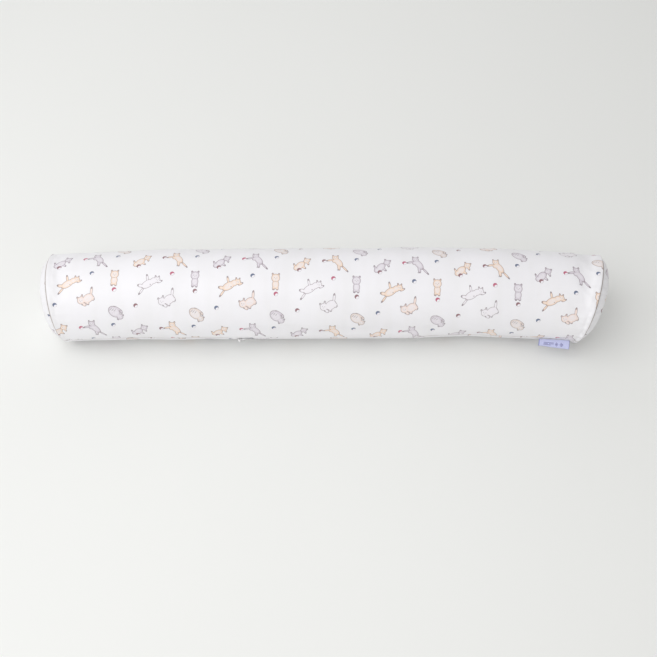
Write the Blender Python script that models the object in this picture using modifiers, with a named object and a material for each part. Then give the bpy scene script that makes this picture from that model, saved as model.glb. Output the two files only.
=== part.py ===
"""A bolster pillow: a zipped cover with two end panels, an insert bag and its fibre filling.

The pillow lies along X on its flattened underside, at Z = 0. The long seam runs along the front,
-Y side. Its middle is a concealed zip, and a folded label is caught in it near the +X end.
"""

import math

import bmesh
import bpy

# The whole pillow, in metres
SEAM_LENGTH = 0.880
RADIUS = 0.0765
END_TAPER = 0.0030
SAG = 0.004
END_BULGE = 0.026
BOW = 0.015
BOW_POWER = 1.7
# Each end leans: its front and lower edge lies this much further in than the middle line
LEFT_LEAN = 0.009
RIGHT_LEAN = 0.018
LEAN_ELEVATION = 52.0
LEAN_START = 0.250

# The layers, by how far inside the cover's outer face each one lies
FABRIC = 0.0008
LAYER_GAP = 0.0006
LINER_INSET = FABRIC + LAYER_GAP
CORE_GAP = 0.0009
CORE_INSET = LINER_INSET + FABRIC + CORE_GAP
LAYER_SHORTER = 0.003
AROUND_STEP = 11.0

# The long seam and the zip
SEAM_ANGLE = 205.0
SLIT_WIDTH = 0.0012
ZIP_HALF = 0.145
TAPE_HALF = 0.155
STRAIGHT_HALF = 0.160
DENT_END = 0.200
DENT_DEPTH = 0.0042
TAPE_ANGLE = 10.0
TAPE_INSET = FABRIC + 0.0003
TAPE_THICK = 0.0005
COIL_RADIUS = 0.0007
COIL_Y = 0.0015
COIL_Z = -0.0027
STOP_SIZE = (0.0020, 0.0050, 0.0020)
STOP_Z = -0.0031
THREAD_RADIUS = 0.0003

# The slider and its pull tab, in the zip's own frame: X along it and Z out of the cover
SLIDER_REST = -(ZIP_HALF - 0.00625)
PLATE_SIZE = (0.0095, 0.0070, 0.0010)
PLATE_Z = -0.0042
NECK_SIZE = (0.0060, 0.0006, 0.0050)
NECK_Z = -0.0016
CROWN_SIZE = (0.0090, 0.0058, 0.0010)
CROWN_Z = 0.0009
BRIDGE_SIZE = (0.0040, 0.0024, 0.0032)
BRIDGE_Z = 0.0028
PIVOT_Z = 0.0030
PIVOT_HOLE = 0.0009
TAB_LENGTH = 0.024
TAB_WIDTH = 0.0060
TAB_THICK = 0.0009
TAB_WINDOW = (0.0044, 0.0034)
TAB_BAR = 0.0010
TAB_LEAN = 5.0

# The label, in its own frame: X along the seam and Z out of it
LABEL_FROM_SEAM = 0.048
LABEL_WIDTH = 0.050
LABEL_THICK = 0.0003
LABEL_DROOP = 10.0
LABEL_OUTLINE = (
    (0.00045, 0.0009),
    (0.0009, 0.0050),
    (0.0013, 0.0120),
    (0.0011, 0.0160),
    (0.0005, 0.0177),
)

HALF = 0.5 * SEAM_LENGTH
SLIT_ANGLE = math.degrees(0.5 * SLIT_WIDTH / RADIUS)
CURVED = HALF - DENT_END
STATIONS = (STRAIGHT_HALF, *[DENT_END + CURVED * share for share in (0.0, 0.25, 0.5, 0.72, 0.89)])
# How far before the seam, and how far inwards, the barrel's edge rolls over
EDGE_ROLL = ((0.0080, 0.0004), (0.0025, 0.0016), (0.0, 0.0036))
RIM_INSET = 0.0043
# Each ring of an end panel, as shares of the bulge past the seam and of the way from rim to crown
PANEL_RINGS = (
    (0.0, 0.0),
    (0.127, 0.033),
    (0.365, 0.126),
    (0.615, 0.277),
    (0.827, 0.487),
    (0.962, 0.740),
)
SEAM_THREAD_OUT = 0.0008
SEAM_THREAD_INSET = 0.0037


def clear_scene():
    for obj in list(bpy.data.objects):
        bpy.data.objects.remove(obj, do_unlink=True)


def new_collection(name):
    made = bpy.data.collections.new(name)
    bpy.context.scene.collection.children.link(made)
    return made


def new_material(name, colour, roughness, metallic):
    made = bpy.data.materials.new(name)
    made.use_nodes = True
    shader = made.node_tree.nodes["Principled BSDF"]
    shader.inputs["Base Color"].default_value = (*colour, 1.0)
    shader.inputs["Roughness"].default_value = roughness
    shader.inputs["Metallic"].default_value = metallic
    made.diffuse_color = (*colour, 1.0)
    return made


def new_object(name, data, paint, group, parent=None):
    obj = bpy.data.objects.new(name, data)
    if paint:
        data.materials.append(paint)
    group.objects.link(obj)
    obj.parent = parent
    return obj


def new_frame(name, location, turn, group):
    """An empty that holds the pieces built in a frame of their own."""
    frame = new_object(name, None, None, group)
    frame.location = location
    frame.rotation_euler = turn
    return frame


# The pillow's shape


def share_past(x, start):
    """0 up to start, rising to 1 at an end seam and beyond."""
    return min(1.0, max(0.0, abs(x) - start) / (HALF - start))


def bow_at(x):
    """How far the middle line comes forward here."""
    return -BOW * share_past(x, STRAIGHT_HALF) ** BOW_POWER


def radius_at(x):
    return RADIUS - END_TAPER * share_past(x, STRAIGHT_HALF) ** 2


def lean_at(x, y, z):
    """How far the end's lean moves a point along X, from its place about the middle line."""
    rise = math.radians(LEAN_ELEVATION)
    down = -(y * math.sin(rise) + z * math.cos(rise)) / RADIUS
    most = RIGHT_LEAN if x > 0 else -LEFT_LEAN
    return -most * down * share_past(x, LEAN_START) ** 2


def point(x, angle, inset):
    """A point of the layer that lies inset inside the cover, at an angle from +Y towards +Z."""
    middle = radius_at(x) - SAG
    turn = math.radians(angle)
    y = (radius_at(x) - inset) * math.cos(turn)
    z = max(middle + (radius_at(x) - inset) * math.sin(turn), inset)
    return (x + lean_at(x, y, z - middle), y + bow_at(x), z)


def corner_half_angle(x, inset):
    """Half the angle taken up by a layer's flat underside."""
    radius = radius_at(x)
    return math.degrees(math.acos((radius - SAG - inset) / (radius - inset)))


def section_angles(x, inset, stops):
    """The angles of one section, through these stops and both corners of its flat underside."""
    nominal = corner_half_angle(0.0, 0.0)
    actual = corner_half_angle(x, inset)
    fixed = [(stop, stop) for stop in stops]
    fixed += [(270.0 - nominal, 270.0 - actual), (270.0 + nominal, 270.0 + actual)]
    fixed.sort()
    angles = []
    for (first, start), (last, end) in zip(fixed, fixed[1:]):
        flat = first > 240.0 and last < 300.0
        count = 1 if flat else max(1, round((last - first) / AROUND_STEP))
        angles += [start + (end - start) * i / count for i in range(count)]
    return [*angles, fixed[-1][1]]


def surface(name, rows, wrap, poles=()):
    """A mesh through rows of points, each row joined end to start if wrap is set.

    A pole closes the last row, and a second one the first row.
    """
    mesh = bpy.data.meshes.new(name)
    build = bmesh.new()
    placed = [[build.verts.new(place) for place in row] for row in rows]
    spans = len(rows[0]) if wrap else len(rows[0]) - 1
    for row, after in zip(placed, placed[1:]):
        for i in range(spans):
            j = (i + 1) % len(row)
            build.faces.new((row[i], row[j], after[j], after[i]))
    for pole, row, turned in zip(poles, (placed[-1], placed[0]), (False, True)):
        tip = build.verts.new(pole)
        for i in range(spans):
            j = (i + 1) % len(row)
            corners = (row[j], row[i], tip) if turned else (row[i], row[j], tip)
            build.faces.new(corners)
    build.to_mesh(mesh)
    build.free()
    mesh.shade_smooth()
    return mesh


def thicken(obj, thickness):
    """Gives an open surface its thickness, on the inner side."""
    solid = obj.modifiers.new("Thickness", "SOLIDIFY")
    solid.thickness = thickness
    solid.offset = -1.0
    solid.use_even_offset = True


def barrel_stations(shorter):
    """Each section's X and the inward roll of the edge there, from one seam to the other."""
    right = [(x, 0.0) for x in STATIONS]
    right += [(HALF - shorter - before, roll) for before, roll in EDGE_ROLL]
    return [(-x, roll) for x, roll in reversed(right)] + right


def dent_at(x, angle):
    """How much deeper an inner layer lies behind the zip."""
    if abs(x) > STRAIGHT_HALF or abs(angle - SEAM_ANGLE) > 6.0:
        return 0.0
    return DENT_DEPTH


def barrel_row(x, base, roll, stops):
    row = []
    for angle in section_angles(x, base + roll, stops):
        row.append(point(x, angle, base + roll + dent_at(x, angle) * bool(base)))
    return row


def inner_stops():
    """The corners of the hollow behind the zip, then a full turn from the first of them."""
    marks = [SEAM_ANGLE + step for step in (-16.0, -5.0, 5.0, 16.0)]
    return [*marks, marks[0] + 360.0]


# The cover, the insert bag and the filling


def make_cover_barrel(paint, group):
    start = SEAM_ANGLE + SLIT_ANGLE
    end = SEAM_ANGLE + 360.0 - SLIT_ANGLE
    stops = (start, start + TAPE_ANGLE, end - TAPE_ANGLE, end)
    rows = [barrel_row(x, 0.0, roll, stops) for x, roll in barrel_stations(0.0)]
    mesh = surface("cover_barrel", rows, False)
    obj = new_object("cover_barrel", mesh, paint, group)
    thicken(obj, FABRIC)


def make_liner_barrel(paint, group):
    rows = []
    for x, roll in barrel_stations(LAYER_SHORTER):
        rows.append(barrel_row(x, LINER_INSET, roll, inner_stops())[:-1])
    mesh = surface("liner_barrel", rows, True)
    obj = new_object("liner_barrel", mesh, paint, group)
    thicken(obj, FABRIC)


def panel_rows(side, base, shorter):
    """The rings of a domed end, from its rim to near its crown."""
    rows = []
    for past, inward in PANEL_RINGS:
        row = []
        x = side * (HALF - shorter + past * END_BULGE)
        inset = base + RIM_INSET + inward * (radius_at(HALF) - RIM_INSET)
        for angle in section_angles(x, inset, inner_stops())[:-1]:
            row.append(point(x, angle, inset))
        rows.append(row if side > 0 else row[::-1])
    return rows


def crown(side, shorter):
    return (side * (HALF - shorter + END_BULGE), -BOW, radius_at(HALF) - SAG)


def make_end_panel(name, side, base, shorter, paint, group):
    rows = panel_rows(side, base, shorter)
    mesh = surface(name, rows, True, [crown(side, shorter)])
    obj = new_object(name, mesh, paint, group)
    thicken(obj, FABRIC)


def make_core(paint, group):
    """The filling, one solid that follows the insert bag's inside."""
    shorter = 2 * LAYER_SHORTER
    rows = []
    for x, roll in barrel_stations(shorter):
        rows.append(barrel_row(x, CORE_INSET, roll, inner_stops())[:-1])
    left = [row[::-1] for row in panel_rows(-1, CORE_INSET, shorter)[1:]]
    right = panel_rows(1, CORE_INSET, shorter)[1:]
    rows = left[::-1] + rows + right
    poles = [crown(1, shorter), crown(-1, shorter)]
    mesh = surface("filling_core", rows, True, poles)
    new_object("filling_core", mesh, paint, group)


# The seams' threads


def make_thread(name, points, cyclic, paint, group):
    curve = bpy.data.curves.new(name, "CURVE")
    curve.dimensions = "3D"
    curve.bevel_depth = THREAD_RADIUS
    curve.bevel_resolution = 1
    curve.use_fill_caps = not cyclic
    spline = curve.splines.new("POLY")
    spline.points.add(len(points) - 1)
    for place, target in zip(points, spline.points):
        target.co = (*place, 1.0)
    spline.use_cyclic_u = cyclic
    new_object(name, curve, paint, group)


def make_seam_threads(paint, group):
    for side, word in ((-1, "left"), (1, "right")):
        x = side * (HALF + SEAM_THREAD_OUT)
        angles = section_angles(x, SEAM_THREAD_INSET, inner_stops())[:-1]
        ring = [point(x, angle, SEAM_THREAD_INSET) for angle in angles]
        make_thread("end_seam_thread_" + word, ring, True, paint, group)
        run = [side * x for x in (TAPE_HALF + 0.002, *STATIONS, HALF - 0.012)]
        line = [point(x, SEAM_ANGLE, 0.5 * FABRIC) for x in run]
        make_thread("long_seam_thread_" + word, line, False, paint, group)


# The zip


def make_tapes(paint, group):
    for word, first in (("lower", SLIT_ANGLE), ("upper", -SLIT_ANGLE - TAPE_ANGLE)):
        rows = []
        for x in (-TAPE_HALF, TAPE_HALF):
            start = SEAM_ANGLE + first
            rows.append([point(x, angle, TAPE_INSET) for angle in (start, start + TAPE_ANGLE)])
        mesh = surface("zip_tape_" + word, rows, False)
        obj = new_object("zip_tape_" + word, mesh, paint, group)
        thicken(obj, TAPE_THICK)


def make_rod(name, length, radius, sides, paint, group, parent):
    mesh = bpy.data.meshes.new(name)
    build = bmesh.new()
    bmesh.ops.create_cone(
        build, cap_ends=True, segments=sides, radius1=radius, radius2=radius, depth=length
    )
    build.to_mesh(mesh)
    build.free()
    return new_object(name, mesh, paint, group, parent)


def make_box(name, size, location, paint, group, parent):
    mesh = bpy.data.meshes.new(name)
    build = bmesh.new()
    bmesh.ops.create_cube(build, size=1.0)
    bmesh.ops.scale(build, vec=size, verts=build.verts)
    build.to_mesh(mesh)
    build.free()
    obj = new_object(name, mesh, paint, group, parent)
    obj.location = location
    return obj


def combine(obj, other, operation):
    step = obj.modifiers.new(other.name, "BOOLEAN")
    step.operation = operation
    step.solver = "EXACT"
    step.object = other


def make_coils_and_stops(paint, metal, group, frame):
    for word, side in (("upper", 1), ("lower", -1)):
        coil = make_rod("zip_coil_" + word, 2 * ZIP_HALF, COIL_RADIUS, 10, paint, group, frame)
        coil.rotation_euler = (0.0, math.radians(90.0), 0.0)
        coil.location = (0.0, side * COIL_Y, COIL_Z)
        coil.data.shade_smooth()
    for word, side in (("closed", -1), ("open", 1)):
        x = side * (ZIP_HALF + 0.0003 + 0.5 * STOP_SIZE[0])
        make_box("zip_stop_" + word, STOP_SIZE, (x, 0.0, STOP_Z), metal, group, frame)


def make_slider(metal, group, cutters, frame):
    """The inner plate, the neck in the slit, the outer crown and the bridge with its hole."""
    rest = new_frame("slider_frame", (SLIDER_REST, 0.0, 0.0), (0.0, 0.0, 0.0), group)
    rest.parent = frame
    slider = make_box("zip_slider", PLATE_SIZE, (0.0, 0.0, PLATE_Z), metal, group, rest)
    neck = make_box("cut_neck", NECK_SIZE, (0.0, 0.0, NECK_Z), None, cutters, rest)
    top = make_box("cut_crown", CROWN_SIZE, (0.0, 0.0, CROWN_Z), None, cutters, rest)
    bridge = make_box("cut_bridge", BRIDGE_SIZE, (0.0, 0.0, BRIDGE_Z), None, cutters, rest)
    hole = make_rod("cut_hole", 0.01, PIVOT_HOLE, 16, None, cutters, rest)
    hole.rotation_euler = (math.radians(90.0), 0.0, 0.0)
    hole.location = (0.0, 0.0, PIVOT_Z)
    for other in (neck, top, bridge):
        combine(slider, other, "UNION")
    combine(slider, hole, "DIFFERENCE")
    return rest


def make_tab(metal, group, cutters, rest):
    """A flat pull with a round end. Its bar lies in the bridge's hole, on the tab's own axis."""
    half = 0.5 * TAB_WIDTH
    outline = [(-0.5 * TAB_BAR, -half), (-0.5 * TAB_BAR, half)]
    for step in range(9):
        turn = math.radians(90.0 - 22.5 * step)
        outline.append((TAB_LENGTH - half + half * math.cos(turn), half * math.sin(turn)))
    mesh = bpy.data.meshes.new("zip_pull_tab")
    build = bmesh.new()
    corners = [build.verts.new((x, y, 0.0)) for x, y in outline[::-1]]
    build.faces.new(corners)
    build.to_mesh(mesh)
    build.free()
    tab = new_object("zip_pull_tab", mesh, metal, group, rest)
    tab.location = (0.0, 0.0, PIVOT_Z)
    tab.rotation_euler = (0.0, math.radians(TAB_LEAN), 0.0)
    plate = tab.modifiers.new("Thickness", "SOLIDIFY")
    plate.thickness = TAB_THICK
    plate.offset = 0.0
    size = (*TAB_WINDOW, 0.01)
    x = 0.5 * (TAB_BAR + TAB_WINDOW[0])
    window = make_box("cut_window", size, (x, 0.0, 0.0), None, cutters, tab)
    combine(tab, window, "DIFFERENCE")


# The label


def make_label(paint, group):
    """A folded loop: a thin wall round a narrow hollow, open at both sides."""
    place = point(HALF - LABEL_FROM_SEAM, SEAM_ANGLE, 0.0)
    left = point(HALF - LABEL_FROM_SEAM - 0.02, SEAM_ANGLE, 0.0)
    right = point(HALF - LABEL_FROM_SEAM + 0.02, SEAM_ANGLE, 0.0)
    lean = math.radians(SEAM_ANGLE - 90.0 + LABEL_DROOP)
    yaw = math.atan2(right[1] - left[1], right[0] - left[0])
    frame = new_frame("label_frame", place, (lean, 0.0, yaw), group)
    outline = [(y, z) for y, z in LABEL_OUTLINE]
    outline += [(-y, z) for y, z in reversed(LABEL_OUTLINE)]
    rows = []
    for x in (-0.5 * LABEL_WIDTH, 0.5 * LABEL_WIDTH):
        rows.append([(x, y, z) for y, z in outline])
    mesh = surface("woven_label", rows, True)
    obj = new_object("woven_label", mesh, paint, group, frame)
    thicken(obj, LABEL_THICK)


def main():
    clear_scene()
    group = new_collection("bolster_pillow")
    cutters = new_collection("cutters")
    satin = new_material("cover_satin", (0.90, 0.89, 0.92), 0.38, 0.0)
    cotton = new_material("liner_cotton", (0.86, 0.85, 0.82), 0.85, 0.0)
    fibre = new_material("fibre_fill", (0.93, 0.93, 0.93), 0.95, 0.0)
    thread = new_material("seam_thread", (0.60, 0.57, 0.56), 0.7, 0.0)
    tape = new_material("zip_tape", (0.88, 0.87, 0.86), 0.8, 0.0)
    nylon = new_material("zip_coil", (0.90, 0.90, 0.88), 0.35, 0.0)
    metal = new_material("zip_metal", (0.72, 0.72, 0.74), 0.3, 1.0)
    ribbon = new_material("label_ribbon", (0.58, 0.60, 0.88), 0.45, 0.0)

    make_cover_barrel(satin, group)
    make_liner_barrel(cotton, group)
    for side, word in ((-1, "left"), (1, "right")):
        make_end_panel("cover_end_" + word, side, 0.0, 0.0, satin, group)
        make_end_panel("liner_end_" + word, side, LINER_INSET, LAYER_SHORTER, cotton, group)
    make_core(fibre, group)
    make_seam_threads(thread, group)

    make_tapes(tape, group)
    turn = (math.radians(SEAM_ANGLE - 90.0), 0.0, 0.0)
    frame = new_frame("zip_frame", point(0.0, SEAM_ANGLE, 0.0), turn, group)
    make_coils_and_stops(nylon, metal, group, frame)
    rest = make_slider(metal, group, cutters, frame)
    make_tab(metal, group, cutters, rest)
    make_label(ribbon, group)

    for helper in cutters.objects:
        helper.hide_render = True
        helper.display_type = "WIRE"


main()
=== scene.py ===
"""The looks of a bolster pillow: printed satin cover, concealed zip, folded label and filled insert."""

import functools
import math

import bpy
import numpy as np
from bpy.props import FloatProperty, FloatVectorProperty, PointerProperty
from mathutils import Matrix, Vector


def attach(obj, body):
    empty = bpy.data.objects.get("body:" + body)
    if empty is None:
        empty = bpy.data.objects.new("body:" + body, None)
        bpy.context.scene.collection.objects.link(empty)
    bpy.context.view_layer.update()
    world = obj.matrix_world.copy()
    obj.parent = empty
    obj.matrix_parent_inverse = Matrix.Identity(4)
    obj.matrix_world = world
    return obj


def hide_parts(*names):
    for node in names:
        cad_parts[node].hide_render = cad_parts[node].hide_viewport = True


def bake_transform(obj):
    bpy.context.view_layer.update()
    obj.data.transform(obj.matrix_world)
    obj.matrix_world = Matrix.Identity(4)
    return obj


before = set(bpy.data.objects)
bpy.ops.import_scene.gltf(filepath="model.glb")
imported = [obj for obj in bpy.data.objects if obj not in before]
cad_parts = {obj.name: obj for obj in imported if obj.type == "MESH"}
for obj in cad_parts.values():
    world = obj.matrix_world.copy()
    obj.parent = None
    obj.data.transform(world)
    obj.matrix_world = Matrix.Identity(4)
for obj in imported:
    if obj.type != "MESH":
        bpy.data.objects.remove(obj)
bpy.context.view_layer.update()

bl_info = {
    "name": "Bolster Pillow",
    "version": (1, 0, 0),
    "blender": (4, 5, 0),
    "location": "3D View > Sidebar > Bolster",
    "description": "Builds a printed bolster pillow around its packed frame",
    "category": "Object",
}

MM = 0.001

# The pillow's shape, as the frame has it
HALF = 0.440
RADIUS = 0.0765
ROUND = 2 * math.pi * RADIUS
END_TAPER = 0.0031
SAG = 0.004
END_BULGE = 0.026
# At the left end and at the right: how far the end is bowed forward, how late the bow sets in, how far
# the seam leans in below, and how far its middle stands out
BOW = (0.0056, 0.0136)
BOW_POWER = (2.2, 2.3)
LEAN = (0.0102, 0.0197)
ARCH = (0.0035, 0.0011)
LEAN_ELEVATION = 52.0
LEAN_START = 0.250
STRAIGHT_HALF = 0.160
SEAM_ANGLE = 205.0
# The angle about the pillow's axis that faces up and forward, where the print's rows are counted from
PRINT_ANGLE = 120.0
ZIP_HALF = 0.145
TAPE_HALF = 0.155
LABEL_X = 0.392

END_RADIUS = RADIUS - END_TAPER
SIDES = ((-1, "left"), (1, "right"))

# How softly the underside turns flat on the floor: the plain barrel, the plain end panels, the puffed cloth
BARREL_SOFT = 0.0012
PANEL_SOFT = 0.0030
FLOOR_SOFT = 0.0005


def share_past(x, start):
    """0 up to start, rising evenly to 1 at an end seam and beyond."""
    return np.clip((np.abs(x) - start) / (HALF - start), 0.0, 1.0)


def smooth_step(value, low, high):
    """0 below low and 1 above high, along 3t^2 - 2t^3 between them."""
    t = np.clip((value - low) / (high - low), 0.0, 1.0)
    return t * t * (3.0 - 2.0 * t)


def at_end(pair, x):
    """The right end's value where x is above 0, and the left end's elsewhere."""
    return np.where(x > 0, pair[1], pair[0])


def crowded(count, bend):
    """Numbers from -1 to 1 that crowd towards both ends: the sine of even steps, over the sine of bend."""
    return np.sin(np.linspace(-1.0, 1.0, count) * bend) / math.sin(bend)


def all_round(count):
    """Even angles once round the pillow's axis, from the long seam on."""
    return SEAM_ANGLE + np.linspace(0.0, 360.0, count, endpoint=False)


def off_seam(angle):
    """How many degrees an angle is off the long seam, either way round."""
    return np.abs(np.mod(angle - SEAM_ANGLE + 180.0, 360.0) - 180.0)


def near_seam(arc):
    """How far a distance round the pillow is from the long seam, the shorter way."""
    return np.minimum(arc, ROUND - arc)


def not_below(z, lowest, soft):
    """A rounded maximum: half of the height above lowest, plus half the root of its square and soft's."""
    above = z - lowest
    return lowest + 0.5 * (above + np.sqrt(above * above + soft * soft))


def shape(x, angle, inset, soft=BARREL_SOFT):
    """Points of the layer that lies inset inside the cover.

    A circle of the radius at x, less the inset, stands SAG low, and its underside is lifted to the
    floor by a rounded maximum. The radius falls by END_TAPER towards the ends, as the square of the
    share past the straight middle. The circle is then moved forward by the bow, and its points are
    moved along X by the ends' lean, in proportion to how far down and forward each one lies, and by
    the arch, in proportion to 1 less that share's square.
    """
    x, angle, inset = np.broadcast_arrays(x, angle, inset)
    radius = RADIUS - END_TAPER * share_past(x, STRAIGHT_HALF) ** 2
    middle = radius - SAG
    turn = np.radians(angle)
    y = (radius - inset) * np.cos(turn)
    z = not_below(middle + (radius - inset) * np.sin(turn), inset, soft)
    rise = math.radians(LEAN_ELEVATION)
    down = -(y * math.sin(rise) + (z - middle) * math.cos(rise)) / RADIUS
    outward = at_end(ARCH, x) * (1.0 - down**2) - at_end(LEAN, x) * down
    bow = -at_end(BOW, x) * share_past(x, STRAIGHT_HALF) ** at_end(BOW_POWER, x)
    return np.stack([x + np.sign(x) * outward * share_past(x, LEAN_START) ** 2, y + bow, z], axis=-1)


# Meshes


def quads(rows, columns, wrap=False, start=0):
    """Faces of a grid of points, numbered row by row, joined end to start in each row with wrap."""
    i = np.arange(rows - 1)[:, None] * columns
    j = np.arange(columns if wrap else columns - 1)[None, :]
    k = (j + 1) % columns
    faces = np.stack([i + j, i + k, i + columns + k, i + columns + j], axis=-1)
    return faces.reshape(-1, 4) + start


def fan(ring, tip):
    """Triangles from a ring of point numbers to one tip."""
    return np.stack([ring, np.roll(ring, -1), np.full(len(ring), tip)], axis=-1)


def piece(name, points, faces, cloth=None):
    """A smooth mesh object at the origin. cloth holds each point's place on the flat cloth, in metres."""
    mesh = bpy.data.meshes.new(name)
    lists = [face for block in faces for face in block.tolist()]
    mesh.from_pydata(np.asarray(points, np.float64).reshape(-1, 3).tolist(), [], lists)
    mesh.shade_smooth()
    if cloth is not None:
        flat = np.zeros((len(mesh.vertices), 3), np.float32)
        flat[:, : cloth.shape[-1]] = cloth.reshape(-1, cloth.shape[-1])
        mesh.attributes.new("cloth", "FLOAT_VECTOR", "POINT").data.foreach_set("vector", flat.ravel())
    obj = bpy.data.objects.new(name, mesh)
    bpy.context.scene.collection.objects.link(obj)
    return obj


def gathered(blocks):
    """Several (points, faces) blocks as one, with each block's point numbers moved past the others'."""
    points, faces, start = [], [], 0
    for block_points, block_faces in blocks:
        points.append(block_points.reshape(-1, 3))
        faces += [face + start for face in block_faces]
        start += len(points[-1])
    return np.concatenate(points), faces


def carried(path, profile, closed=False, up=(0.137, 0.311, 0.94)):
    """A flat profile carried along a path: its first number goes to the side and its second one up.

    Each profile point is the path's point, plus side and up directions times the profile's numbers.
    profile is one ring of pairs, counter-clockwise, or one ring for each point of the path.
    """
    ahead = np.roll(path, -1, 0) - np.roll(path, 1, 0)
    if not closed:
        ahead[0] = path[1] - path[0]
        ahead[-1] = path[-1] - path[-2]
    ahead /= np.linalg.norm(ahead, axis=1, keepdims=True)
    side = np.cross(ahead, up)
    side /= np.linalg.norm(side, axis=1, keepdims=True)
    over = np.cross(side, ahead)
    profile = np.broadcast_to(profile, (len(path), *np.shape(profile)[-2:]))
    out = side[:, None] * profile[..., :1] + over[:, None] * profile[..., 1:]
    points = (path[:, None] + out).reshape(-1, 3)
    sides = profile.shape[1]
    if closed:
        faces = [quads(len(path) + 1, sides, True)[:, ::-1] % len(points)]
        return points, faces
    first = np.arange(sides)
    faces = [quads(len(path), sides, True)[:, ::-1]]
    faces.append(fan(first, len(points)))
    faces.append(fan((first + len(points) - sides)[::-1], len(points) + 1))
    return np.concatenate([points, path[:1], path[-1:]]), faces


def ring(radius, sides, turn=0.0):
    """A circle as a profile."""
    around = np.linspace(0.0, 2 * np.pi, sides, endpoint=False) + turn
    return radius * np.stack([np.cos(around), np.sin(around)], axis=-1)


def block(size, middle=(0.0, 0.0, 0.0), power=0.35, rows=14, columns=28):
    """A box with rounded edges, as a superellipsoid.

    Each coordinate is half the size times the sign and a power of a sine or cosine of the
    latitude and longitude; the smaller the power, the squarer the block.
    """
    rise = np.linspace(-0.5, 0.5, rows + 2)[1:-1, None] * np.pi
    turn = np.linspace(0.0, 2.0, columns, endpoint=False)[None, :] * np.pi
    flat = np.cos(rise) ** power
    points = np.stack(
        [
            flat * np.sign(np.cos(turn)) * np.abs(np.cos(turn)) ** power,
            flat * np.sign(np.sin(turn)) * np.abs(np.sin(turn)) ** power,
            np.broadcast_to(np.sign(np.sin(rise)) * np.abs(np.sin(rise)) ** power, (rows, columns)),
        ],
        axis=-1,
    )
    points = np.concatenate([points.reshape(-1, 3), [[0.0, 0.0, -1.0], [0.0, 0.0, 1.0]]])
    faces = [quads(rows, columns, True)]
    first = np.arange(columns)
    faces.append(fan(first[::-1], rows * columns))
    faces.append(fan(first + (rows - 1) * columns, rows * columns + 1))
    return points * (0.5 * np.asarray(size)) + np.asarray(middle), faces


# The cover's puffed shape, by cloth simulation

SIM_AROUND = 120
SIM_ROWS = 121
SIM_RINGS = 13
SIM_FRAMES = 18
SIM_INSET = 0.0022
SIM_BULGE = 0.0235
PANEL_RIM = 0.0034
MOST_MOVE = 0.0045
SIM_CLOTH = {
    "quality": 5,
    "mass": 0.25,
    "tension_stiffness": 14.0,
    "compression_stiffness": 14.0,
    "shear_stiffness": 4.0,
    "bending_stiffness": 0.3,
    "use_pressure": True,
    "uniform_pressure_force": 4.0,
    "shrink_min": -0.022,
    "vertex_group_mass": "seams",
    "pin_stiffness": 1.0,
}


def sim_stations():
    """X of the simulated rows, closer together towards the end seams."""
    return HALF * crowded(SIM_ROWS, 1.25)


def sim_columns(angle):
    """An angle as a fractional column of the simulated skin."""
    return (angle - SEAM_ANGLE) / (360.0 / SIM_AROUND)


def dome(share):
    """How far past its seam an end panel stands, from rim (0) to crown (1): a blunt, full dome."""
    reach = np.clip(1.0 - share, 0.0, 1.0)
    return (1.0 - reach**2.4) ** 0.85


def panel_shape(side, share, angle, bulge):
    """Points of an end panel. share is 0 at the rim and 1 at the crown, along the radius."""
    inset = PANEL_RIM + (END_RADIUS - PANEL_RIM) * share
    x = side * (HALF + bulge * dome(share))
    place = shape(x, angle, np.minimum(inset, END_RADIUS - 1e-6), PANEL_SOFT)
    straight = END_RADIUS - SAG + (END_RADIUS - inset) * np.sin(np.radians(angle))
    place[..., 2] = not_below(straight, PANEL_RIM, PANEL_SOFT)
    return place


def inflate(points, faces, pinned):
    """The points after a short cloth run: the closed skin grows a little and is blown up, its seams held."""
    obj = piece("puffing", points, faces)
    group = obj.vertex_groups.new(name="seams")
    group.add([int(i) for i in pinned], 1.0, "REPLACE")
    cloth = obj.modifiers.new("Cloth", "CLOTH")
    for name, value in SIM_CLOTH.items():
        setattr(cloth.settings, name, value)
    cloth.settings.effector_weights.gravity = 0.0
    cloth.point_cache.frame_start = 1
    cloth.point_cache.frame_end = SIM_FRAMES
    scene = bpy.context.scene
    for step in range(1, SIM_FRAMES + 1):
        scene.frame_set(step)
    graph = bpy.context.evaluated_depsgraph_get()
    result = np.empty(len(points) * 3, np.float32)
    obj.evaluated_get(graph).data.vertices.foreach_get("co", result)
    scene.frame_set(1)
    mesh = obj.data
    bpy.data.objects.remove(obj)
    bpy.data.meshes.remove(mesh)
    return result.reshape(-1, 3).astype(float)


def capped(move, most):
    """Moves shortened smoothly, by a hyperbolic tangent, so that none is longer than most."""
    length = np.linalg.norm(move, axis=-1, keepdims=True) + 1e-12
    return move * (most * np.tanh(length / most) / length)


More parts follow.
